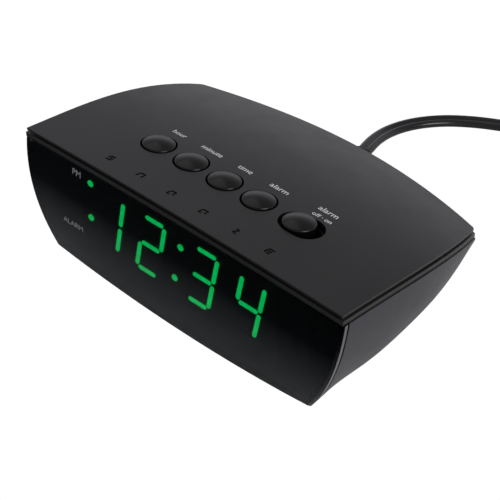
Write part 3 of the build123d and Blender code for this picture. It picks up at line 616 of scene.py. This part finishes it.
def relief_mesh(line):
    """A flange and collar in the back wall, and a tapered tail with bending slots along the lead.
    Each profile row is a place along it, a width, a height and a corner radius, in millimetres."""
    exit_point = Vector(CORD_ROUTE[0])
    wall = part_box("strain_relief")[0].y + RELIEF_INSIDE
    collar = [(-4.85, 10.6, 6.4, 2.2), (-3.1, 10.6, 6.4, 2.2), (-3.0, 8.0, 5.2, 2.0), (0.0, 8.0, 5.2, 2.0),
              (0.1, 10.0, 8.0, 2.4), (0.5, 10.4, 8.4, 2.6), (1.8, 10.4, 8.4, 2.6), (2.2, 9.6, 7.6, 2.4)]
    rings = []
    for y, w, h, c in collar:
        origin = Vector((exit_point.x, wall + y * MM, exit_point.z))
        rings.append(rounded_ring(origin, RIGHT, UP, w * MM, h * MM, c * MM))
    start, end, slots = 2.9, 18.8, 6
    tail = []
    for index in range(slots):
        for part, depth in ((0.0, 0.0), (0.5, 0.0), (0.6, 0.8), (0.9, 0.8)):
            share = (index + part) / slots
            width, height = 9.0 - 2.0 * share - depth, 7.0 - 2.7 * share - depth
            tail.append((start + (end - start) * share, width, height, min(2.4, height / 2 - 0.1)))
    tail += [(19.0, 7.0, 4.3, 1.9), (19.7, 6.9, 4.2, 1.9), (20.0, 6.3, 3.6, 1.6)]
    ahead = wall - exit_point.y
    for along, w, h, c in tail:
        origin, across, up = frame_along(line, along * MM + ahead)
        rings.append(rounded_ring(origin, across, up, w * MM, h * MM, c * MM))
    return lofted("strain_relief", rings)


def plug_mesh():
    """A moulded two-pin plug: a waisted grip with ridges and a flat face round the blades.
    Each profile row is a place along it, a width, a height and a corner radius, in millimetres."""
    profile = [(0.0, 7.6, 5.4, 2.4), (0.4, 9.0, 6.8, 2.6), (3.0, 9.6, 7.2, 2.6), (5.0, 11.2, 8.0, 2.8),
               (7.4, 13.4, 9.0, 3.0), (9.4, 15.2, 9.7, 3.0)]
    for ridge in range(4):
        at = 9.8 + ridge * 1.9
        width, height = 15.0 + ridge * 0.75, 9.6 + ridge * 0.3
        profile += [(at, width, height, 3.0), (at + 0.45, width + 1.0, height + 0.5, 3.0),
                    (at + 1.1, width + 1.0, height + 0.5, 3.0), (at + 1.5, width, height, 3.0)]
    profile += [(18.2, 18.0, 10.6, 3.0), (18.8, 19.0, 11.0, 3.0), (23.0, 19.0, 11.0, 3.0),
                (23.7, 18.6, 10.6, 2.9), (24.0, 17.8, 9.8, 2.6)]
    rings = [rounded_ring(PLUG_REAR + PLUG_HEADING * at * MM, PLUG_OUTWARD, UP, w * MM, h * MM, c * MM)
             for at, w, h, c in profile]
    return lofted("plug", rings)


TIE_ANGLE = math.radians(-20.0)
TIE_SPAN, TIE_OUTSIDE = 14.5 * MM, 0.3 * MM  # across the turns, and how far of it is outside them
TIE_THICK = 0.8


def tie_mesh():
    """A flat band round the coil's turns, with rounded edges.
    Each profile row is a height in the band's thickness and a place across its width, in millimetres."""
    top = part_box("cord_tie")[1].z
    low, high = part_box("cord_coil")
    outer_edge = (high.x - low.x) / 2 + TIE_OUTSIDE
    radial = Vector((math.cos(TIE_ANGLE), math.sin(TIE_ANGLE), 0))
    along = Vector((-math.sin(TIE_ANGLE), math.cos(TIE_ANGLE), 0))
    centre = Vector((COIL.x, COIL.y, top / 2)) + radial * (outer_edge - TIE_SPAN / 2)
    rings = []
    for raised, place in ((0.0, 1.6), (0.0, -1.6), (0.2, -2.0), (0.6, -2.0), (TIE_THICK, -1.6),
                          (TIE_THICK, 1.6), (0.6, 2.0), (0.2, 2.0)):
        within = 2 * (TIE_THICK - raised) * MM
        origin = centre + along * place * MM
        rings.append(rounded_ring(origin, radial, UP, TIE_SPAN - within, top - within, (1.2 + raised) * MM))
    return lofted("cord_tie_band", rings, round_again=True)


line = smooth_line(cord_points())
lead = new_piece("mains_lead", cord_mesh(line), "case", cord_vinyl)
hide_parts("power_cord", "cord_coil")
relief = new_piece("relief_sleeve", relief_mesh(line), "case", plug_vinyl)
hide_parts("strain_relief")
plug = new_piece("mains_plug", plug_mesh(), "case", plug_vinyl)
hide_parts("plug_body")
tie = new_piece("coil_tie", tie_mesh(), "case", dark_plastic)
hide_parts("cord_tie")


# ---------------------------------------------------------------- floor and light
FLOOR_HALF = 3.0
# painted shade: the floor is dark from 35 mm before the front edge outwards, fading to white 5 mm before it
PAINTED_SHADE_UNTIL, WHITE_FROM = FRONT_EDGE - 35.0 * MM, FRONT_EDGE - 5.0 * MM


def add_floor():
    """A floor that looks plain white, and lights the clock as a white one with painted shade before it: a
    dark band in front of the lens, for the shadow that the lens reflects.
    """
    mesh = bpy.data.meshes.new("floor")
    corners = [(x * FLOOR_HALF, y * FLOOR_HALF, 0) for x, y in ((-1, -1), (1, -1), (1, 1), (-1, 1))]
    mesh.from_pydata(corners, [], [(0, 1, 2, 3)])
    floor = bpy.data.objects.new("floor", mesh)
    SCENE.collection.objects.link(floor)
    surface = Surface("floor", Roughness=0.9, Specular_IOR_Level=0.0)
    out_of_painted_shade = surface.spread(surface.axes()["Y"], 0.0, 1.0, PAINTED_SHADE_UNTIL, WHITE_FROM)
    # painted shade before the clock: dark grey ahead, white behind
    surface.drive("Base Color", surface.blend(out_of_painted_shade, (0.10, 0.11, 0.12), (0.80, 0.80, 0.82), 0, 1))
    mix = surface.node("MixShader")
    white = surface.node("Emission", Strength=1.02)  # what the camera sees, just over plain white
    path = surface.node("LightPath")
    output = surface.nodes["Material Output"]
    surface.links.new(path.outputs["Is Camera Ray"], mix.inputs["Fac"])
    surface.links.new(surface.shader.outputs["BSDF"], mix.inputs[1])
    surface.links.new(white.outputs["Emission"], mix.inputs[2])
    surface.links.new(mix.outputs["Shader"], output.inputs["Surface"])
    floor.data.materials.append(surface.material)


def add_softbox(name, place, target, size, power):
    data = bpy.data.lights.new(name, "AREA")
    data.size = size
    data.energy = power
    light = bpy.data.objects.new(name, data)
    light.location = place
    light.rotation_euler = (Vector(target) - Vector(place)).to_track_quat("-Z", "Y").to_euler()
    SCENE.collection.objects.link(light)


def add_world():
    """Soft light from all round, a little brighter and bluer near the floor."""
    world = bpy.data.worlds.new("studio")
    world.use_nodes = True
    nodes, links = world.node_tree.nodes, world.node_tree.links
    place = nodes.new("ShaderNodeTexCoord")
    split = nodes.new("ShaderNodeSeparateXYZ")
    ramp = nodes.new("ShaderNodeValToRGB")
    links.new(place.outputs["Generated"], split.inputs["Vector"])
    links.new(split.outputs["Z"], ramp.inputs["Fac"])
    steps = ramp.color_ramp.elements
    steps[0].position, steps[0].color = 0.0, (0.75, 0.73, 0.80, 1)
    steps[1].position, steps[1].color = 0.5, (0.33, 0.33, 0.34, 1)
    links.new(ramp.outputs["Color"], nodes["Background"].inputs["Color"])
    SCENE.world = world


add_floor()
add_world()
add_softbox("key", (-0.5, 0.2, 0.9), (0, 0, 0.03), size=0.8, power=0.8)
add_softbox("side", (0.9, 0.0, 0.6), (0.2, 0, 0), size=0.6, power=5.0)
SCENE.view_settings.view_transform = "Standard"
